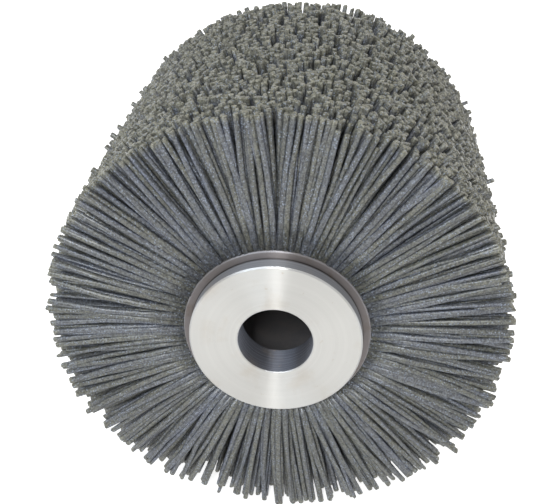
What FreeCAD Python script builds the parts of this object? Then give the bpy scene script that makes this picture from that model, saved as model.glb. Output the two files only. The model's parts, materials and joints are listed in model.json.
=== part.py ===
"""Abrasive-filament drum brush: keyed steel plates and rings of filament in turn on a core tube.

Two bored hubs, pinned in the ends of the tube, clamp the stack. The drum's axis is the Y axis, with the
front hub at -Y, +Z up and the origin at the drum's centre.
All sizes are millimetres and live in the spreadsheet "dims"; every sketch and feature is bound to it.
"""
import FreeCAD
import Part

import math
import os

import Sketcher

# The driving dimensions: alias, value, meaning.
DIMENSIONS = [
    ("brush_diameter", 160, "across the filament tips"),
    ("face_width", 127, "length of the filled face along the axis"),
    ("section_count", 5, "rings of filament side by side on the core"),
    ("section_gap", 0.2, "gap between neighbouring rings of filament, outside the plates"),
    ("bore_diameter", 25.4, "bore of each hub, for the machine's shaft"),
    ("bore_chamfer", 0.3, "chamfer at the outer end of the bore"),
    ("hub_flange_setback", 2.7, "how far the hub's disc stays inside the rim of the end plate"),
    ("hub_flange_thickness", 5.5, "how far the hub stands out of the face"),
    ("hub_edge_break", 0.5, "chamfer on both rims of the disc"),
    ("hub_spigot_length", 7.2, "length of the hub inside the core tube"),
    ("tube_diameter", 50.8, "outside of the core tube"),
    ("tube_wall", 4.76, "wall of the core tube"),
    ("tube_shortfall", 0.5, "how much shorter the tube is than the stack, so that the hubs clamp it"),
    ("press_clearance", 0.02, "radial clearance where a piece is driven home"),
    ("slip_clearance", 0.1, "clearance where a piece slides over the tube or beside the filaments"),
    ("pin_count", 2, "pins that lock each hub in the tube"),
    ("pin_diameter", 4, "hub pin"),
    ("pin_land", 3.34, "metal of the spigot between the hub pin's end and the bore"),
    ("key_width", 5, "drive key across"),
    ("key_inset", 1.25, "how far each end of the key lies inside the end of the tube"),
    ("key_seat_depth", 2, "depth of the key seat in the tube"),
    ("key_stand", 1, "height of the key above the tube"),
    ("plate_lip", 2.1, "how far the plates' rims reach outside the anchor hoop"),
    ("end_plate_thickness", 2.5, "plate at each end of the stack"),
    ("end_plate_edge_break", 0.4, "chamfer on the outer rim of an end plate"),
    ("spacer_plate_thickness", 1.5, "plate between two rings of filament"),
    ("fold_thickness", 1.8, "filament folded under the anchor hoop"),
    ("hoop_size", 2.5, "side of the square steel anchor hoop"),
    ("fill_shoulder", 0.3, "height above the plates' rims at which the filaments spread sideways"),
    ("tuft_count", 20, "clumps of filament round a ring"),
    ("tuft_gap", 2.6, "gap between neighbouring clumps at the tips"),
    ("tuft_root", 13.8, "radial length of the spreading filaments before the clumps part"),
]

FRONT, REAR = "front", "rear"


def new_sheet(doc):
    """The spreadsheet that holds the driving dimensions, one row each: value, meaning."""
    sheet = doc.addObject("Spreadsheet::Sheet", "dims")
    for row, (alias, value, meaning) in enumerate(DIMENSIONS, start=1):
        sheet.set(f"A{row}", str(value))
        sheet.setAlias(f"A{row}", alias)
        sheet.set(f"B{row}", meaning)
    doc.recompute()
    return sheet


class Builder:
    """Makes the sub-parts of one document, with formulas in the sheet's aliases for every size."""

    def __init__(self):
        self.doc = FreeCAD.newDocument("drum_brush")
        self.sheet = new_sheet(self.doc)
        self.sub_parts = []

    def value(self, formula):
        """The number that a formula gives now."""
        return float(self.sheet.evalExpression(formula))

    def keep(self, item, label):
        item.Label = label
        self.sub_parts.append(item)
        return item

    def body(self, label):
        return self.keep(self.doc.addObject("PartDesign::Body", label), label)

    def sketch(self, body, name, plane, offset=None):
        """A sketch on one of the body's origin planes, lifted by a formula along the plane's normal."""
        support = next(f for f in body.Origin.OriginFeatures if f.Role == plane)
        sketch = body.newObject("Sketcher::SketchObject", f"{body.Name}_{name}")
        sketch.AttachmentSupport = (support, [""])
        sketch.MapMode = "FlatFace"
        if offset:
            sketch.setExpression("AttachmentOffset.Base.z", offset)
        return sketch

    def bind(self, sketch, kind, where, formula):
        """A dimension of a sketch, tied to a formula."""
        index = sketch.addConstraint(Sketcher.Constraint(kind, *where, self.value(formula)))
        sketch.setExpression(f"Constraints[{index}]", formula)

    def outline(self, sketch, corners):
        """A closed outline of straight lines whose corners are (x, y) formulas."""
        places = [FreeCAD.Vector(self.value(x), self.value(y), 0) for x, y in corners]
        first = sketch.GeometryCount
        count = len(corners)
        for n, place in enumerate(places):
            sketch.addGeometry(Part.LineSegment(place, places[(n + 1) % count]), False)
        for n, (x, y) in enumerate(corners):
            line = first + n
            sketch.addConstraint(Sketcher.Constraint("Coincident", line, 2, first + (n + 1) % count, 1))
            self.bind(sketch, "DistanceX", (line, 1), x)
            self.bind(sketch, "DistanceY", (line, 1), y)

    def ring_outline(self, sketch, apothem):
        """A regular outline with one side for each tuft, the first side centred on the +X axis."""
        sides = int(self.value("dims.tuft_count"))
        corner_radius = f"({apothem}) / cos(180 deg / {sides})"
        turns = [f"{(2 * n + 1) * 180 / sides} deg" for n in range(sides)]
        self.outline(sketch, [(f"{corner_radius} * cos({t})", f"{corner_radius} * sin({t})") for t in turns])

    def circle(self, sketch, radius, along=None):
        """A circle on the sketch's horizontal axis, at a place given by a formula, or at its origin."""
        centre = FreeCAD.Vector(self.value(along) if along else 0, 0, 0)
        index = sketch.addGeometry(Part.Circle(centre, FreeCAD.Vector(0, 0, 1), self.value(radius)), False)
        if along:
            sketch.addConstraint(Sketcher.Constraint("PointOnObject", index, 3, -1))
            self.bind(sketch, "DistanceX", (index, 3), along)
        else:
            sketch.addConstraint(Sketcher.Constraint("Coincident", index, 3, -1, 1))
        self.bind(sketch, "Radius", (index,), radius)

    def revolve(self, body, corners):
        """Turns an outline of (radius, place along Y) formulas about the Y axis."""
        sketch = self.sketch(body, "section", "XY_Plane")
        self.outline(sketch, corners)
        feature = body.newObject("PartDesign::Revolution", f"{body.Name}_turned")
        feature.Profile = sketch
        feature.ReferenceAxis = (sketch, ["V_Axis"])
        feature.Angle = 360
        sketch.Visibility = False
        return feature

    def pad(self, body, sketch, name, length):
        """Extrudes a sketch by the same amount to both sides of its plane."""
        feature = body.newObject("PartDesign::Pad", f"{body.Name}_{name}")
        feature.Profile = sketch
        feature.Midplane = True
        feature.setExpression("Length", length)
        return feature

    def pocket(self, body, sketch, name, length=None, both_ways=False, upwards=False):
        """Cuts a sketch out, through all or by a length, below its plane, above it or to both sides."""
        feature = body.newObject("PartDesign::Pocket", f"{body.Name}_{name}")
        feature.Profile = sketch
        feature.Midplane = both_ways
        feature.Reversed = upwards
        if length:
            feature.setExpression("Length", length)
        else:
            feature.Type = "ThroughAll"
        return feature

    def repeat_round(self, body, feature, count):
        """Repeats a feature at equal angles about the Y axis."""
        axis = next(f for f in body.Origin.OriginFeatures if f.Role == "Y_Axis")
        pattern = body.newObject("PartDesign::PolarPattern", f"{feature.Name}_round")
        pattern.Originals = [feature]
        pattern.Axis = (axis, [""])
        pattern.Angle = 360
        pattern.setExpression("Occurrences", count)
        body.Tip = pattern
        return pattern


# Radii and places that several pieces share.
STACK_END = "dims.face_width / 2"
TUBE_LENGTH = "(dims.face_width - dims.tube_shortfall)"
BORE = "dims.bore_diameter / 2"
TUBE = "dims.tube_diameter / 2"
TUBE_INSIDE = f"({TUBE} - dims.tube_wall)"
SPIGOT = f"({TUBE_INSIDE} - dims.press_clearance)"
PIN_TOP = f"({TUBE} - dims.press_clearance)"
PIN_END = f"({BORE} + dims.pin_land)"
PIN_HOLE = "(dims.pin_diameter / 2 + dims.press_clearance)"
PIN_PLACE = f"({STACK_END} - dims.hub_spigot_length / 2)"
KEY_TOP = f"({TUBE} + dims.key_stand)"
KEY_SEAT = f"({TUBE} - dims.key_seat_depth)"
ALL_PLATES = "(2 * dims.end_plate_thickness + (dims.section_count - 1) * dims.spacer_plate_thickness)"
PLATE_SPACE = f"((dims.face_width - {ALL_PLATES}) / dims.section_count)"
PITCH = f"({PLATE_SPACE} + dims.spacer_plate_thickness)"
ON_TUBE = f"({TUBE} + dims.slip_clearance)"
HOOP_INSIDE = f"({ON_TUBE} + dims.fold_thickness)"
HOOP_OUTSIDE = f"({HOOP_INSIDE} + dims.hoop_size)"
PLATE_RIM = f"({HOOP_OUTSIDE} + dims.plate_lip)"
FLANGE = f"({PLATE_RIM} - dims.hub_flange_setback)"
FILL_SHOULDER = f"({PLATE_RIM} + dims.fill_shoulder)"
PARTING = f"({FILL_SHOULDER} + dims.tuft_root)"
TIP_CORNER = "dims.brush_diameter / 2"
TIP_FLAT = f"({TIP_CORNER} * cos(180 deg / dims.tuft_count))"


def hub(build, side):
    """A turned plug: bright disc outside, spigot in the tube, bored through, with radial pin holes."""
    body = build.body(f"{side}_hub")
    seat = f"-{STACK_END}"
    face = f"{seat} - dims.hub_flange_thickness"
    end = f"{seat} + dims.hub_spigot_length"
    build.revolve(body, [
        (f"{BORE} + dims.bore_chamfer", face),
        (f"{FLANGE} - dims.hub_edge_break", face),
        (FLANGE, f"{face} + dims.hub_edge_break"),
        (FLANGE, f"{seat} - dims.hub_edge_break"),
        (f"{FLANGE} - dims.hub_edge_break", seat),
        (SPIGOT, seat),
        (SPIGOT, end),
        (BORE, end),
        (BORE, f"{face} + dims.bore_chamfer"),
    ])
    build.doc.recompute()
    sketch = build.sketch(body, "pin_seat", "YZ_Plane", f"{PIN_END} - dims.press_clearance")
    build.circle(sketch, PIN_HOLE, f"-{PIN_PLACE}")
    hole = build.pocket(body, sketch, "pin_hole", upwards=True)
    build.repeat_round(body, hole, "dims.pin_count")
    if side == REAR:
        half_turn = FreeCAD.Rotation(FreeCAD.Vector(1, 0, 0), 180)
        body.Placement = FreeCAD.Placement(FreeCAD.Vector(0, 0, 0), half_turn)


def core_tube(build):
    """The tube that carries the stack, with pin holes at both ends and a key seat on top."""
    body = build.body("core_tube")
    ends = build.sketch(body, "ends", "XZ_Plane")
    build.circle(ends, TUBE)
    build.circle(ends, TUBE_INSIDE)
    build.pad(body, ends, "wall", TUBE_LENGTH)
    build.doc.recompute()
    seat = build.sketch(body, "key_seat", "XY_Plane", KEY_SEAT)
    key_outline(build, seat, "dims.press_clearance")
    build.pocket(body, seat, "key_slot", upwards=True)
    holes = build.sketch(body, "pin_places", "YZ_Plane")
    build.circle(holes, PIN_HOLE, PIN_PLACE)
    build.circle(holes, PIN_HOLE, f"-{PIN_PLACE}")
    drilled = build.pocket(body, holes, "pin_holes", upwards=True)
    build.repeat_round(body, drilled, "dims.pin_count")


def key_outline(build, sketch, clearance):
    """The key's plan, a bar along Y with half-round ends, grown by a clearance."""
    half_width = f"(dims.key_width / 2 + {clearance})"
    reach = f"({TUBE_LENGTH} / 2 - dims.key_inset - dims.key_width / 2)"
    across, along = build.value(half_width), build.value(reach)
    first = sketch.GeometryCount
    normal = FreeCAD.Vector(0, 0, 1)
    for centre, start in ((along, 0), (-along, math.pi)):
        ring = Part.Circle(FreeCAD.Vector(0, centre, 0), normal, across)
        sketch.addGeometry(Part.ArcOfCircle(ring, start, start + math.pi), False)
    for side in (-across, across):
        far, near = FreeCAD.Vector(side, along, 0), FreeCAD.Vector(side, -along, 0)
        sketch.addGeometry(Part.LineSegment(far, near), False)
    top, bottom, left, right = range(first, first + 4)
    joins = ((top, 2, left, 1), (top, 1, right, 1), (bottom, 1, left, 2), (bottom, 2, right, 2))
    for join in joins:
        sketch.addConstraint(Sketcher.Constraint("Tangent", *join))
    for arc in (top, bottom):
        sketch.addConstraint(Sketcher.Constraint("PointOnObject", arc, 3, -2))
    build.bind(sketch, "Radius", (top,), half_width)
    build.bind(sketch, "DistanceY", (top, 3), reach)
    build.bind(sketch, "DistanceY", (bottom, 3), f"-{reach}")


def drive_key(build):
    """The key that turns the plates with the tube."""
    body = build.body("drive_key")
    sketch = build.sketch(body, "plan", "XY_Plane", f"({KEY_TOP} + {KEY_SEAT}) / 2")
    key_outline(build, sketch, "0")
    build.pad(body, sketch, "bar", f"{KEY_TOP} - {KEY_SEAT}")


def hub_pins(build, side):
    """The straight pins of one hub: each runs through the tube's wall into the spigot."""
    count = int(build.value("dims.pin_count"))
    along = f"-{PIN_PLACE}" if side == FRONT else PIN_PLACE
    pins = []
    for n in range(count):
        angle = n * 360 / count
        pin = build.doc.addObject("Part::Cylinder", f"{side}_hub_pin_{n + 1}")
        pin.setExpression("Radius", "dims.pin_diameter / 2")
        pin.setExpression("Height", f"{PIN_TOP} - {PIN_END}")
        outwards = FreeCAD.Vector(math.cos(math.radians(angle)), 0, math.sin(math.radians(angle)))
        pin.Placement.Rotation = FreeCAD.Rotation(FreeCAD.Vector(0, 0, 1), outwards)
        pin.setExpression("Placement.Base.x", f"{PIN_END} * cos({angle} deg)")
        pin.setExpression("Placement.Base.y", along)
        pin.setExpression("Placement.Base.z", f"{PIN_END} * sin({angle} deg)")
        pins.append(pin)
    group = build.doc.addObject("Part::Compound", f"{side}_hub_pins")
    group.Links = pins
    build.keep(group, f"{side}_hub_pins")


def key_notch(build, body):
    """Cuts the way for the key through a piece that slides over the tube."""
    notch = build.sketch(body, "key_notch", "XZ_Plane")
    side = "(dims.key_width / 2 + dims.slip_clearance)"
    top = f"({KEY_TOP} + dims.slip_clearance)"
    build.outline(notch, [(f"-{side}", TUBE_INSIDE), (side, TUBE_INSIDE), (side, top), (f"-{side}", top)])
    build.pocket(body, notch, "notch", both_ways=True)


def end_plate(build, side):
    """The round steel plate between a hub and the filaments, with its outer rim chamfered."""
    body = build.body(f"{side}_end_plate")
    outside = f"-{STACK_END}"
    inside = f"{outside} + dims.end_plate_thickness"
    build.revolve(body, [
        (ON_TUBE, outside),
        (f"{PLATE_RIM} - dims.end_plate_edge_break", outside),
        (PLATE_RIM, f"{outside} + dims.end_plate_edge_break"),
        (PLATE_RIM, inside),
        (ON_TUBE, inside),
    ])
    build.doc.recompute()
    key_notch(build, body)
    if side == REAR:
        half_turn = FreeCAD.Rotation(FreeCAD.Vector(0, 0, 1), 180)
        body.Placement = FreeCAD.Placement(FreeCAD.Vector(0, 0, 0), half_turn)


def spacer_plate(build, number):
    """A flat steel plate between two rings of filament, with flats in place of a round rim."""
    body = build.body(f"spacer_plate_{number}")
    ring = build.sketch(body, "ring", "XZ_Plane")
    build.ring_outline(ring, PLATE_RIM)
    build.ring_outline(ring, ON_TUBE)
    build.pad(body, ring, "sheet", "dims.spacer_plate_thickness")
    build.doc.recompute()
    key_notch(build, body)
    body.setExpression("Placement.Base.y", f"({number} - dims.section_count / 2) * {PITCH}")


def place_section(body, number):
    """Moves a body made at the drum's centre to the middle of its section, counted from the front."""
    body.setExpression("Placement.Base.y", f"({number} - (dims.section_count + 1) / 2) * {PITCH}")


def anchor_hoop(build, number):
    """The square steel hoop that the filaments are folded round, deep between the plates."""
    body = build.body(f"anchor_hoop_{number}")
    sketch = build.sketch(body, "ring", "XZ_Plane")
    build.ring_outline(sketch, HOOP_INSIDE)
    build.ring_outline(sketch, HOOP_OUTSIDE)
    build.pad(body, sketch, "bar", "dims.hoop_size")
    place_section(body, number)


def spread(build, number):
    """How far a ring of filament reaches from its section's middle, towards the front and the rear."""
    inner = f"({PITCH} / 2 - dims.section_gap / 2)"
    outer = f"({PLATE_SPACE} / 2 + dims.end_plate_thickness)"
    front = outer if number == 1 else inner
    rear = outer if number == int(build.value("dims.section_count")) else inner
    return front, rear


def filament_pack(build, number):
    """One ring of filament: folded round its hoop between the plates, then spreading into clumps."""
    body = build.body(f"filament_pack_{number}")
    root = build.sketch(body, "root", "XZ_Plane")
    build.ring_outline(root, ON_TUBE)
    build.ring_outline(root, FILL_SHOULDER)
    build.pad(body, root, "fold", f"{PLATE_SPACE} - 2 * dims.slip_clearance")
    front, rear = spread(build, number)
    face = build.sketch(body, "face", "XZ_Plane", f"({front} - {rear}) / 2")
    build.ring_outline(face, FILL_SHOULDER)
    build.ring_outline(face, TIP_FLAT)
    build.pad(body, face, "face_fill", f"{front} + {rear}")
    build.doc.recompute()
    hoop_seat = build.sketch(body, "hoop_seat", "XZ_Plane")
    build.ring_outline(hoop_seat, f"{HOOP_INSIDE} - dims.slip_clearance")
    build.ring_outline(hoop_seat, f"{HOOP_OUTSIDE} + dims.slip_clearance")
    seat_width = "dims.hoop_size + 2 * dims.slip_clearance"
    build.pocket(body, hoop_seat, "hoop_space", length=seat_width, both_ways=True)
    key_notch(build, body)
    gap = build.sketch(body, "gap", "XZ_Plane")
    turn = "(180 deg / dims.tuft_count)"
    reach = f"({TIP_CORNER} + dims.tuft_gap)"
    growth = f"({reach} - {PARTING}) / ({TIP_CORNER} - {PARTING})"
    half_gap = f"(dims.tuft_gap / 2 * {growth})"
    across_x, across_y = f"{half_gap} * sin({turn})", f"{half_gap} * cos({turn})"
    build.outline(gap, [
        (f"{PARTING} * cos({turn})", f"{PARTING} * sin({turn})"),
        (f"{reach} * cos({turn}) + {across_x}", f"{reach} * sin({turn}) - {across_y}"),
        (f"{reach} * cos({turn}) - {across_x}", f"{reach} * sin({turn}) + {across_y}"),
    ])
    parting = build.pocket(body, gap, "parting", both_ways=True)
    build.repeat_round(body, parting, "dims.tuft_count")
    place_section(body, number)


def check(build):
    """Stops unless every object was computed and every sub-part is made of valid solids."""
    for item in build.doc.Objects:
        if "Invalid" in item.State or "Error" in item.State:
            raise RuntimeError(f"{item.Name} failed: {item.State}")
    for part in build.sub_parts:
        shape = part.Shape
        if shape.isNull() or not shape.isValid() or not shape.Solids:
            raise RuntimeError(f"{part.Label} has no valid solid")


def main():
    build = Builder()
    core_tube(build)
    drive_key(build)
    for side in (FRONT, REAR):
        hub(build, side)
        hub_pins(build, side)
        end_plate(build, side)
    section_count = int(build.value("dims.section_count"))
    for number in range(1, section_count + 1):
        anchor_hoop(build, number)
        filament_pack(build, number)
    for number in range(1, section_count):
        spacer_plate(build, number)
    build.doc.recompute()
    check(build)
    os.makedirs("parts", exist_ok=True)
    for part in build.sub_parts:
        part.Shape.exportStep(f"parts/{part.Label}.step")
        print(part.Label, len(part.Shape.Solids), round(part.Shape.Volume, 2))


main()
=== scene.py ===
"""The looks of a drum brush: thousands of grit-filled filaments round a pair of turned steel hubs."""

import json
import math

import bpy
import numpy as np
from mathutils import Matrix, Vector


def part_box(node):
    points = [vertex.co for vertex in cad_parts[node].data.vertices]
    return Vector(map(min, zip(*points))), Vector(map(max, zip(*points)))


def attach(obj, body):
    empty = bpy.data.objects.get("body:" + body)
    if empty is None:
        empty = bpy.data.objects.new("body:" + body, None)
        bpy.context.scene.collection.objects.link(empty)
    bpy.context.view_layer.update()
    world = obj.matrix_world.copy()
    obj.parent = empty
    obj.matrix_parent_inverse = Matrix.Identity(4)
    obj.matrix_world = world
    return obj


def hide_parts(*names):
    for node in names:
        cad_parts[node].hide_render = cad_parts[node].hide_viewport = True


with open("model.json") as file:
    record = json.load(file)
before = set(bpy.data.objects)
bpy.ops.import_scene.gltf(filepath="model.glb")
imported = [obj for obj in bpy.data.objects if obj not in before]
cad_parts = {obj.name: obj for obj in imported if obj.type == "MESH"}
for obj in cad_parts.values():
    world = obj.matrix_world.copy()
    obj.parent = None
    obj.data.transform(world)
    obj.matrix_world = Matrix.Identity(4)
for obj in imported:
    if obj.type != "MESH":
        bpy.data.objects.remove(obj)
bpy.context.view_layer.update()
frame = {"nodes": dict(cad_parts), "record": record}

MM = 0.001
SEED = 7

# The drum's own sizes, from the frame. Its axis is the Y axis, and its front end is at -Y.
MOUNTS = {mount["name"]: mount for mount in frame["record"]["mounts"]}
HUB_LOW, HUB_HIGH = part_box("front_hub")
HUB_FACE = -HUB_LOW.y
HUB_RADIUS = HUB_HIGH.x
HUB_BORE = MOUNTS["bore_front"]["dims"]["r_mm"] * MM
PLATE_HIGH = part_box("front_end_plate")[1]
PLATE_INNER = -PLATE_HIGH.y
ROOT_RADIUS = PLATE_HIGH.x
FILL_LOW, FILL_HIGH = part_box("filament_pack_1")
FACE_HALF = -FILL_LOW.y
SECTIONS = sum(node.startswith("filament_pack_") for node in frame["nodes"])

# The CAD fill's rim is this many flats, and its box reaches only to the middle of a flat.
RIM_FLATS = 20
TIP_RADIUS = FILL_HIGH.x / math.cos(math.pi / RIM_FLATS)

# One filament: a flat bar with rounded edges, fuller at its root, cut roughly square at its tip.
WIDE, THIN = 1.9 * MM, 1.2 * MM
SIZE_SPREAD, SIZE_LIMITS = 0.05, (0.85, 1.15)
STATIONS = np.array([0.0, 0.3, 0.6, 0.992, 1.0])
STATION_SIZE = np.array([1.2, 1.07, 1.0, 1.0, 0.86])
SECTION = np.array([(-0.27, -0.5), (0.27, -0.5), (0.5, -0.22), (0.5, 0.22),
                    (0.27, 0.5), (-0.27, 0.5), (-0.5, 0.22), (-0.5, -0.22)])
NARROW_SIDE = 0.4
CUT_SLOPE = 0.12

# Where the roots stand: on a grid with some jitter, given as a share of the spacing.
ROUND_SPACING, AXIAL_SPACING = 1.85 * MM, 1.28 * MM
ROUND_JITTER, AXIAL_JITTER = 0.08, 0.2
END_MARGIN = 0.45 * THIN
ROOT_DEPTH = 1.5 * MM

# Where the tips stand: they lean together in clumps, drift slowly over the surface and scatter singly.
CLUMP_ROUND, CLUMP_AXIAL = 7.5 * MM, 5.0 * MM
CLUMP_JITTER = 0.25
CLUMP_PULL = (0.05, 0.65)
AXIAL_PULL = 0.7
CLUMP_LEVEL = 0.3 * MM
DRIFT_SIZE = 16 * MM
DRIFT_TURN, DRIFT_SHIFT = 0.012, 0.6 * MM
TURN_SPREAD, SHIFT_SPREAD = 0.019, 1.0 * MM

# Two primes that give each cell of the clump grid a number of its own.
CELL_PRIMES = (7919, 104729)

# Towards the drum's ends the tips spread outwards, over this width.
SPLAY = 6.0 * MM
SPLAY_OUT, SPLAY_SHARE, SPLAY_CALM = 0.4 * MM, 0.5, 0.4

# How long the filaments are. Most are worn a little short. A random number of 0 to 1 for each one picks
# those that stand out or are broken off.
WEAR, WEAR_SPREAD = -1.1 * MM, 0.28 * MM
LONG_BELOW, LONG_BY = 0.03, (0.5 * MM, 2.6 * MM)
SHORT_ABOVE, SHORT_BY = 0.93, (0.5 * MM, 4.5 * MM)

# The floor, and the sine of the direction below which tips end at it.
FLOOR_LEVEL = -TIP_RADIUS + 0.4 * MM
FLOOR_GAP = 0.2 * MM
DOWNWARD = -0.9

# How a filament bends: a random bow, and most of its lean late in its length.
BOW = 0.6 * MM
LATE_LEAN = 1.6

# Twist in radians. At 0 the wide sides face the drum's ends; left and right of its axis they also look up.
LOOK_UP, TWIST_OFFSET = 0.44, -0.08
TWIST_SPREAD = 0.38
FREE_TWIST = 1.57
FREE_SHARE, FREE_SHARE_BELOW = 0.22, 0.4
ROOT_TWIST = 0.12


def smooth_noise(points, size, seed):
    """Smooth noise round 0, mostly within 1.5 of it, made of a few random waves about `size` long."""
    rng = np.random.default_rng(seed)
    waves = 12
    directions = rng.normal(size=(waves, 3))
    directions /= np.linalg.norm(directions, axis=1)[:, None]
    lengths = size * rng.uniform(0.7, 1.6, waves)
    phases = rng.uniform(0, 2 * math.pi, waves)
    return np.sin(points @ directions.T * 2 * math.pi / lengths + phases).sum(1) / math.sqrt(waves)


def polar(radius, angle, along):
    """Points at a radius, an angle from +X towards +Z, and a place along Y."""
    return np.stack([radius * np.cos(angle), along, radius * np.sin(angle)], 1)


def filament_places(low, high, rng):
    """Root angle and place along Y of every filament of one section."""
    columns = round(2 * math.pi * ROOT_RADIUS / ROUND_SPACING)
    low, high = low + END_MARGIN, high - END_MARGIN
    rows = round((high - low) / AXIAL_SPACING)
    column, row = np.meshgrid(np.arange(columns), np.arange(rows))
    column, row = column.ravel(), row.ravel()
    step = 2 * math.pi / columns
    angle = (column + 0.5 * (row % 2) + rng.uniform(-ROUND_JITTER, ROUND_JITTER, column.size)) * step
    along = low + (row + 0.5 + rng.uniform(-AXIAL_JITTER, AXIAL_JITTER, row.size)) / rows * (high - low)
    return angle, along


def clump_pull(angle, along, rng):
    """How far each tip turns and shifts towards its clump's middle, and how far the clump stands out."""
    step = 2 * math.pi / round(2 * math.pi * TIP_RADIUS / CLUMP_ROUND)
    key = np.floor(angle / step) * CELL_PRIMES[0] + np.floor(along / CLUMP_AXIAL) * CELL_PRIMES[1]
    _, group = np.unique(key.astype(np.int64), return_inverse=True)
    count = np.bincount(group)
    middle_angle = np.bincount(group, angle) / count + rng.normal(0, CLUMP_JITTER, count.size) * step
    middle_along = np.bincount(group, along) / count + rng.normal(0, CLUMP_JITTER, count.size) * CLUMP_AXIAL
    pull = rng.uniform(*CLUMP_PULL, count.size)[group]
    level = rng.normal(0, CLUMP_LEVEL, count.size)[group]
    turn = (middle_angle[group] - angle) * pull
    shift = (middle_along[group] - along) * pull * AXIAL_PULL
    return turn, shift, level


def splayed(shift, along):
    """The tips' shift along Y, with their spread outwards at the drum's ends added."""
    inset = FACE_HALF - np.abs(along)
    edge = np.clip(1 - inset / SPLAY, 0, 1)
    outward = edge * SPLAY_OUT + inset * np.minimum(edge * 2, 1) * SPLAY_SHARE
    return shift * (1 - SPLAY_CALM * edge) + np.sign(along) * outward


def tip_places(angle, along, rng):
    """Each tip's distance from the axis, angle and place along Y, from the angle and place of its root."""
    count = angle.size
    turn, shift, level = clump_pull(angle, along, rng)
    even_tips = polar(np.full(count, TIP_RADIUS), angle, along)
    turn = turn + smooth_noise(even_tips, DRIFT_SIZE, SEED + 1) * DRIFT_TURN
    turn = turn + rng.normal(0, TURN_SPREAD, count)
    shift = shift + smooth_noise(even_tips, DRIFT_SIZE, SEED + 2) * DRIFT_SHIFT
    shift = splayed(shift + rng.normal(0, SHIFT_SPREAD, count), along)
    reach = TIP_RADIUS + level + rng.normal(WEAR, WEAR_SPREAD, count)
    stray = rng.random(count)
    reach += np.where(stray < LONG_BELOW, rng.uniform(*LONG_BY, count), 0)
    reach -= np.where(stray > SHORT_ABOVE, rng.uniform(*SHORT_BY, count), 0)
    upward = np.sin(angle + turn)
    to_floor = FLOOR_LEVEL / np.minimum(upward, DOWNWARD)
    reach = np.where(upward < DOWNWARD, np.minimum(reach, to_floor), reach)
    return reach, angle + turn, along + shift


def filament_lines(angle, along, rng):
    """Centre line points of every filament, as an array of filament, station and xyz."""
    reach, tip_angle, tip_along = tip_places(angle, along, rng)
    outside_plate = np.abs(along) > PLATE_INNER
    root = polar(ROOT_RADIUS - np.where(outside_plate, 0, ROOT_DEPTH), angle, along)
    tip = polar(reach, tip_angle, tip_along)
    s = STATIONS[None, :, None]
    straight = root[:, None] + (tip - root)[:, None] * s
    bow = rng.normal(0, BOW, (angle.size, 1, 3)) * np.sin(math.pi * s)
    lean = (tip - root) - polar(reach - ROOT_RADIUS, angle, np.zeros(angle.size))
    late = lean[:, None] * (s ** LATE_LEAN - s)
    return straight + bow + late


def filament_twists(angle, rng):
    """How far every filament's wide side is turned round its own line, at each station."""
    count = angle.size
    free_share = FREE_SHARE + FREE_SHARE_BELOW * np.clip(-np.sin(angle), 0, 1)
    free = rng.random(count) < free_share
    own = np.where(free, rng.uniform(-FREE_TWIST, FREE_TWIST, count), rng.normal(0, TWIST_SPREAD, count))
    common = LOOK_UP * np.cos(angle) + TWIST_OFFSET
    return common[:, None] + own[:, None] * (ROOT_TWIST + (1 - ROOT_TWIST) * STATIONS)


def filament_points(lines, twist, rng):
    """Corner points of every filament, as an array of filament, station, corner and xyz."""
    count = len(lines)
    along = np.gradient(lines, axis=1)
    along /= np.linalg.norm(along, axis=2)[:, :, None]
    side = np.cross(along, np.array([0.0, 1.0, 0.0]))
    side /= np.linalg.norm(side, axis=2)[:, :, None]
    other = np.cross(side, along)
    cos, sin = np.cos(twist)[:, :, None], np.sin(twist)[:, :, None]
    wide_axis = side * cos + other * sin
    thin_axis = other * cos - side * sin
    size = rng.normal(1, SIZE_SPREAD, count).clip(*SIZE_LIMITS)[:, None] * STATION_SIZE
    across = wide_axis[:, :, None] * (SECTION[:, 0] * WIDE)[:, None]
    through = thin_axis[:, :, None] * (SECTION[:, 1] * THIN)[:, None]
    points = lines[:, :, None] + (across + through) * size[:, :, None, None]
    slope = rng.normal(0, CUT_SLOPE, (count, 1, 2)) * SECTION * WIDE
    points[:, -1] += along[:, -1, None] * slope.sum(2, keepdims=True)
    return points


def bar_faces(stations, sides):
    """The corners of one closed bar's faces, one face after another, and how many each face has."""
    ring = np.arange(stations - 1)[:, None] * sides
    corner = np.arange(sides)[None, :]
    after = (corner + 1) % sides
    wall = np.stack([ring + corner, ring + after, ring + sides + after, ring + sides + corner], 2)
    root_cap = np.arange(sides)[::-1]
    tip_cap = np.arange(sides) + (stations - 1) * sides
    corners = np.concatenate([wall.ravel(), root_cap, tip_cap])
    lengths = np.array([4] * ((stations - 1) * sides) + [sides, sides])
    return corners, lengths


def mesh_of_bars(name, points):
    """One mesh of closed bars with smooth walls, from an array of bar, station, corner and xyz."""
    count, stations, sides = points.shape[:3]
    one, lengths = bar_faces(stations, sides)
    corners = (one[None] + (np.arange(count) * stations * sides)[:, None]).ravel()
    starts = np.concatenate([[0], np.cumsum(np.tile(lengths, count))[:-1]])
    mesh = bpy.data.meshes.new(name)
    mesh.vertices.add(count * stations * sides)
    mesh.vertices.foreach_set("co", points.astype(np.float32).ravel())
    mesh.loops.add(corners.size)
    mesh.loops.foreach_set("vertex_index", corners.astype(np.int32))
    mesh.polygons.add(starts.size)
    mesh.polygons.foreach_set("loop_start", starts.astype(np.int32))
    mesh.polygons.foreach_set("use_smooth", np.tile(lengths == 4, count))
    mesh.update(calc_edges=True)
    return mesh


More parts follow.
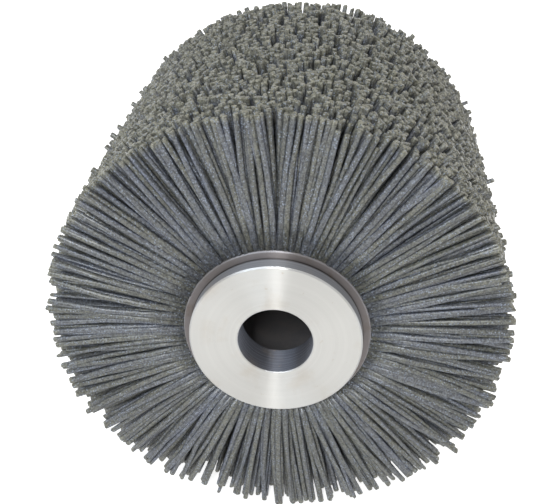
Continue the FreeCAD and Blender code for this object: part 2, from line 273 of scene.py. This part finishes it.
def filament_piece(name, low, high, seed):
    """All the filaments of one section as one object. Its points carry what the material reads."""
    rng = np.random.default_rng(seed)
    angle, along = filament_places(low, high, rng)
    lines = filament_lines(angle, along, rng)
    twist = filament_twists(angle, rng)
    points = filament_points(lines, twist, rng)
    mesh = mesh_of_bars(name, points)
    count, stations, sides = points.shape[:3]
    readings = {
        "tone": np.repeat(rng.random(count), stations * sides),
        "far": np.tile(np.repeat(STATIONS, sides), count),
        "narrow": np.tile(np.abs(SECTION[:, 0]) > NARROW_SIDE, count * stations),
    }
    for label, values in readings.items():
        attribute = mesh.attributes.new(label, "FLOAT", "POINT")
        attribute.data.foreach_set("value", values.astype(np.float32))
    piece = bpy.data.objects.new(name, mesh)
    bpy.context.scene.collection.objects.link(piece)
    return piece


class Nodes:
    """A short way to write a material's node tree."""

    def __init__(self, name):
        self.material = bpy.data.materials.new(name)
        self.material.use_nodes = True
        self.tree = self.material.node_tree
        self.tree.nodes.clear()
        self.output = self.tree.nodes.new("ShaderNodeOutputMaterial")

    def add(self, kind, settings=None, **inputs):
        node = self.tree.nodes.new("ShaderNode" + kind)
        for key, value in (settings or {}).items():
            setattr(node, key, value)
        for key, value in inputs.items():
            self.put(node, key.replace("_", " "), value)
        return node

    def put(self, node, key, value):
        """Sets a socket, by name or number, to a value or links an output to it."""
        socket = node.inputs[int(key)] if key.isdigit() else node.inputs[key]
        if isinstance(value, bpy.types.NodeSocket):
            self.tree.links.new(value, socket)
        else:
            socket.default_value = value

    def math(self, operation, a, b=0.0, clamp=False):
        node = self.add("Math", {"operation": operation, "use_clamp": clamp})
        self.put(node, "0", a)
        self.put(node, "1", b)
        return node.outputs[0]

    def times(self, a, b):
        return self.math("MULTIPLY", a, b)

    def invert(self, value):
        return self.math("SUBTRACT", 1.0, value)

    def mix(self, factor, a, b, blend="MIX"):
        node = self.add("MixRGB", {"blend_type": blend})
        self.put(node, "0", factor)
        self.put(node, "1", a)
        self.put(node, "2", b)
        return node.outputs[0]

    def noise(self, vector, scale, detail, roughness):
        node = self.add("TexNoise", Vector=vector, Scale=scale, Detail=detail, Roughness=roughness)
        return node.outputs[0]

    def ramp(self, value, low, high):
        """Maps low..high onto 0..1, held at both ends."""
        return self.add("MapRange", Value=value, From_Min=low, From_Max=high).outputs[0]

    def place(self):
        return self.add("TexCoord").outputs["Object"]

    def split(self, vector):
        """The x, y and z of a vector."""
        return self.add("SeparateXYZ", Vector=vector).outputs

    def reading(self, label):
        return self.add("Attribute", {"attribute_name": label}).outputs["Fac"]

    def bump(self, height, distance, strength):
        return self.add("Bump", Strength=strength, Distance=distance, Height=height).outputs[0]

    def surface(self, shader):
        self.tree.links.new(shader.outputs[0], self.output.inputs[0])
        return self.material

    def finish(self, **inputs):
        return self.surface(self.add("BsdfPrincipled", **inputs))


def colour(red, green, blue):
    return (red, green, blue, 1.0)


# The filaments' colours: each pair is the range from one filament to another.
OLIVE = colour(0.108, 0.106, 0.083), colour(0.142, 0.138, 0.107)
SLATE = colour(0.079, 0.087, 0.111), colour(0.112, 0.121, 0.15)
CUT_TIP = colour(0.13, 0.126, 0.094), colour(0.212, 0.204, 0.15)
GRIT = colour(0.46, 0.52, 0.62)

# The grain multiplies the colour beneath it by a value between these two.
GRAIN = colour(0.48, 0.48, 0.49), colour(1.5, 1.5, 1.51)

# What darkens the rings in the grooves of turned steel, and the painted shade in the corner behind a hub's
# disc.
GROOVE_DARKENING = colour(0.02, 0.02, 0.022)
PAINTED_CORNER_SHADE = colour(0.03, 0.03, 0.032)

HUB_STAIN = colour(0.36, 0.28, 0.19)
PLATE_STEEL = colour(0.21, 0.19, 0.185)
PLATE_STAIN = colour(0.13, 0.095, 0.06)
DULL_STEEL = colour(0.15, 0.142, 0.142), colour(0.175, 0.16, 0.152)


def filament_material():
    """Grey nylon full of pale grit: olive to slate, bluer on its narrow sides as painted cool shade, paler
    where it is cut.
    """
    n = Nodes("grit_nylon")
    place = n.place()
    tone, far, narrow = (n.reading(label) for label in ("tone", "far", "narrow"))
    other_tone = n.math("FRACT", n.times(tone, 7.0))
    patch = n.ramp(n.noise(place, 380.0, 2.0, 0.6), 0.38, 0.62)
    # Narrow sides lean to slate: a painted cool shade on the bars' edges.
    narrow_side_cool_shade = n.times(narrow, 0.3)
    by_filament = n.times(n.ramp(other_tone, 0.3, 0.8), 0.45)
    by_patch = n.times(patch, 0.25)
    bluish = n.math("ADD", n.math("ADD", narrow_side_cool_shade, by_filament), by_patch, clamp=True)
    shade = n.mix(bluish, n.mix(tone, *OLIVE), n.mix(other_tone, *SLATE))
    shade = n.mix(n.ramp(far, 0.95, 1.0), shade, n.mix(tone, *CUT_TIP))

    grain = n.noise(place, 1500.0, 2.0, 0.6)
    shade = n.mix(1.0, shade, n.mix(n.ramp(grain, 0.38, 0.62), *GRAIN), "MULTIPLY")

    cells = n.add("TexVoronoi", Vector=place, Scale=1600.0)
    chosen = n.ramp(cells.outputs["Color"], 0.54, 0.7)
    speck = n.times(n.ramp(cells.outputs["Distance"], 0.5, 0.3), chosen)
    shade = n.mix(n.times(speck, 0.5), shade, GRIT)
    rough = n.math("SUBTRACT", 0.3, n.times(speck, 0.12))
    relief = n.bump(n.math("ADD", grain, speck), 0.07 * MM, 0.8)
    return n.finish(Base_Color=shade, Roughness=rough, Normal=relief, Specular_IOR_Level=0.6)


def turned_material(name, face, edge, wall, bore, stain, dirt, roughness):
    """Steel turned about the Y axis: fine rings and stretched highlights, duller walls, and stains."""
    n = Nodes(name)
    place = n.place()
    x, y, z = n.split(place)
    from_axis = n.math("SQRT", n.math("ADD", n.times(x, x), n.times(z, z)))
    from_middle = n.math("ABSOLUTE", y)
    round_place = n.add("CombineXYZ", X=from_axis, Y=y).outputs[0]
    fine = n.noise(round_place, 5200.0, 3.0, 0.7)
    rings = n.ramp(n.noise(round_place, 1500.0, 3.0, 0.7), 0.32, 0.68)

    # What each spot is: a flat face, the chamfer round it, an outer wall, or the wall of the bore.
    facing = n.math("ABSOLUTE", n.split(n.add("NewGeometry").outputs["True Normal"])[1])
    flat = n.ramp(facing, 0.5, 0.6)
    round_side = n.invert(flat)
    inside = n.ramp(from_axis, HUB_BORE + 0.5 * MM, HUB_BORE + 0.2 * MM)
    outer_wall = n.times(round_side, n.invert(inside))
    shade = n.mix(flat, n.mix(inside, wall, bore), n.mix(n.ramp(facing, 0.8, 0.9), edge, face))

    # Painted shade in the corner where a hub's disc meets the end plate, and darker rings along the
    # grooves.
    near_disc = n.ramp(n.math("ABSOLUTE", n.math("SUBTRACT", from_axis, HUB_RADIUS)), 0.4 * MM, 0.1 * MM)
    behind_disc = n.ramp(from_middle, HUB_FACE - 4.5 * MM, HUB_FACE - 5 * MM)
    shade = n.mix(n.times(n.times(near_disc, behind_disc), 0.6), shade, PAINTED_CORNER_SHADE)
    wall_grooves = n.times(round_side, n.math("ADD", 0.25, n.times(inside, 0.3)))
    grooves = n.times(n.math("ADD", 0.06, wall_grooves), n.invert(rings))
    shade = n.mix(grooves, shade, GROOVE_DARKENING)

    blotches = n.ramp(n.noise(place, 95.0, 4.0, 0.6), 0.54, 0.72)
    spots = n.ramp(n.noise(place, 420.0, 3.0, 0.6), 0.66, 0.74)
    shade = n.mix(n.times(blotches, dirt), shade, stain)
    shade = n.mix(n.times(spots, 0.4), shade, stain)

    wall_roughness = n.times(round_side, n.math("SUBTRACT", 0.25, n.times(inside, 0.08)))
    rough = n.math("ADD", n.times(fine, 0.06), roughness - 0.03)
    rough = n.math("ADD", rough, wall_roughness)
    metal = n.invert(n.times(outer_wall, 0.65))
    tangent = n.add("Tangent", {"direction_type": "RADIAL", "axis": "Y"}).outputs[0]
    bore_rings = n.times(rings, n.times(inside, 3.0))
    relief = n.bump(n.math("ADD", fine, bore_rings), 0.06 * MM, 0.5)
    return n.finish(Base_Color=shade, Metallic=metal, Roughness=rough, Anisotropic=1.0,
                    Anisotropic_Rotation=0.25, Tangent=tangent, Normal=relief)


def dull_steel_material():
    """Unmachined steel, hidden or seen only down the bore: dark, rough and a little brown."""
    n = Nodes("dull_steel")
    place = n.place()
    patch = n.ramp(n.noise(place, 150.0, 4.0, 0.6), 0.4, 0.65)
    grain = n.noise(place, 1500.0, 3.0, 0.6)
    return n.finish(Base_Color=n.mix(patch, *DULL_STEEL), Metallic=0.25,
                    Roughness=n.ramp(grain, -1.0, 1.4), Normal=n.bump(grain, 0.05 * MM, 0.5))


def floor_material():
    """White for the camera and for reflections, and still darkened by the object's shadow."""
    n = Nodes("floor_white")
    path = n.add("LightPath")
    seen = n.math("MAXIMUM", path.outputs["Is Camera Ray"], path.outputs["Is Glossy Ray"])
    seen = n.math("MAXIMUM", seen, path.outputs["Is Transmission Ray"])
    diffuse = n.add("BsdfDiffuse", Color=colour(0.8, 0.8, 0.8))
    glow = n.add("Emission", Color=colour(1, 1, 1), Strength=n.times(seen, 0.78))
    both = n.add("AddShader")
    n.put(both, "0", diffuse.outputs[0])
    n.put(both, "1", glow.outputs[0])
    return n.surface(both)


def set_material(piece, material):
    piece.data.materials.clear()
    piece.data.materials.append(material)


def build_filaments():
    material = filament_material()
    for number in range(1, SECTIONS + 1):
        node = f"filament_pack_{number}"
        low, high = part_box(node)
        piece = filament_piece(f"filaments_{number}", low.y, high.y, SEED * 100 + number)
        set_material(piece, material)
        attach(piece, "root")
        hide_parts(node)


def dress_steel():
    # The hub's outer walls and bore get darker colours than its face, though all are the same turned steel:
    # painted dark reflections.
    bright = turned_material(
        "turned_steel", face=colour(0.505, 0.494, 0.466), edge=colour(0.52, 0.52, 0.51),
        wall=colour(0.29, 0.293, 0.31), bore=colour(0.22, 0.23, 0.265), stain=HUB_STAIN, dirt=0.22,
        roughness=0.32)
    plate = turned_material(
        "plate_steel", face=PLATE_STEEL, edge=colour(0.27, 0.26, 0.265), wall=PLATE_STEEL,
        bore=colour(0.2, 0.2, 0.2), stain=PLATE_STAIN, dirt=0.5, roughness=0.4)
    dull = dull_steel_material()
    for node, piece in frame["nodes"].items():
        if node.endswith("_hub"):
            set_material(piece, bright)
        elif node.endswith("_end_plate"):
            set_material(piece, plate)
        else:
            set_material(piece, dull)


def build_floor():
    bpy.ops.mesh.primitive_plane_add(size=6.0, location=(0, 0, FLOOR_LEVEL - FLOOR_GAP))
    floor = bpy.context.object
    floor.name = "floor"
    set_material(floor, floor_material())


def area_light(name, place, size, power, shade, glossy=True):
    """A rectangular lamp aimed at the drum. Its width and height are in metres, its power in watts."""
    lamp = bpy.data.lights.new(name, "AREA")
    lamp.shape = "RECTANGLE"
    lamp.size, lamp.size_y = size
    lamp.color = shade
    lamp.energy = power
    holder = bpy.data.objects.new(name, lamp)
    bpy.context.scene.collection.objects.link(holder)
    holder.visible_glossy = glossy
    holder.location = place
    holder.rotation_euler = (-Vector(place)).to_track_quat("-Z", "Y").to_euler()


def build_world():
    """A surround that lights the scene dimly, and is white to the camera and in reflections."""
    lighting, looking = 0.32, 1.0
    world = bpy.data.worlds.new("studio")
    bpy.context.scene.world = world
    world.use_nodes = True
    tree = world.node_tree
    tree.nodes.clear()
    output = tree.nodes.new("ShaderNodeOutputWorld")
    back = tree.nodes.new("ShaderNodeBackground")
    path = tree.nodes.new("ShaderNodeLightPath")
    seen = tree.nodes.new("ShaderNodeMath")
    seen.operation = "MAXIMUM"
    tree.links.new(path.outputs["Is Camera Ray"], seen.inputs[0])
    tree.links.new(path.outputs["Is Glossy Ray"], seen.inputs[1])
    level = tree.nodes.new("ShaderNodeMapRange")
    level.inputs["To Min"].default_value = lighting
    level.inputs["To Max"].default_value = looking
    tree.links.new(seen.outputs[0], level.inputs["Value"])
    tree.links.new(level.outputs[0], back.inputs["Strength"])
    back.inputs["Color"].default_value = colour(1, 1, 1)
    tree.links.new(back.outputs[0], output.inputs[0])


def build_lamps():
    """Four lamps that only light, and two that show in reflections as well: a narrow key, a wide side."""
    soft = (0.5, 0.5)
    area_light("above", (0.0, -0.5, 0.85), soft, 1.0, (1.0, 0.98, 0.94), glossy=False)
    area_light("back", (0.2, 0.85, 0.5), soft, 3.0, (1.0, 0.99, 0.97), glossy=False)
    area_light("left", (-0.9, 0.15, 0.35), soft, 2.4, (0.92, 0.96, 1.0), glossy=False)
    area_light("right", (0.9, 0.15, 0.35), soft, 2.4, (1.0, 0.99, 0.97), glossy=False)
    area_light("key", (-0.055, -0.8, 0.58), (0.02, 0.3), 3.0, (0.95, 0.97, 1.0))
    area_light("side", (-0.38, -0.75, 0.55), (0.6, 0.4), 3.0, (0.76, 0.87, 1.0))


def build_camera():
    """A camera close in front of the hub and above it, a little to one side and tilted."""
    tilt, turn, roll = math.radians(30.42), math.radians(-3.93), math.radians(2.0)
    distance, aim_right, aim_up = 304.9 * MM, 1.6 * MM, 30.1 * MM
    focal_length, sensor_width = 58.6, 36.0
    ahead = Vector((math.sin(turn) * math.cos(tilt), math.cos(turn) * math.cos(tilt), -math.sin(tilt)))
    right = Vector((math.cos(turn), -math.sin(turn), 0))
    up = right.cross(ahead)
    rolled_right = right * math.cos(roll) + up * math.sin(roll)
    rolled_up = up * math.cos(roll) - right * math.sin(roll)
    hub_face = Vector((0, HUB_LOW.y, 0))
    place = hub_face + rolled_right * aim_right + rolled_up * aim_up - ahead * distance
    lens = bpy.data.cameras.new("camera")
    lens.sensor_width = sensor_width
    lens.lens = focal_length
    lens.clip_start = 0.01
    camera = bpy.data.objects.new("camera", lens)
    bpy.context.scene.collection.objects.link(camera)
    facing = Matrix((rolled_right, rolled_up, -ahead)).transposed().to_4x4()
    camera.matrix_world = Matrix.Translation(place) @ facing
    bpy.context.scene.camera = camera


build_camera()
build_world()
build_lamps()
build_floor()
build_filaments()
dress_steel()
bpy.context.scene.view_settings.view_transform = "Standard"
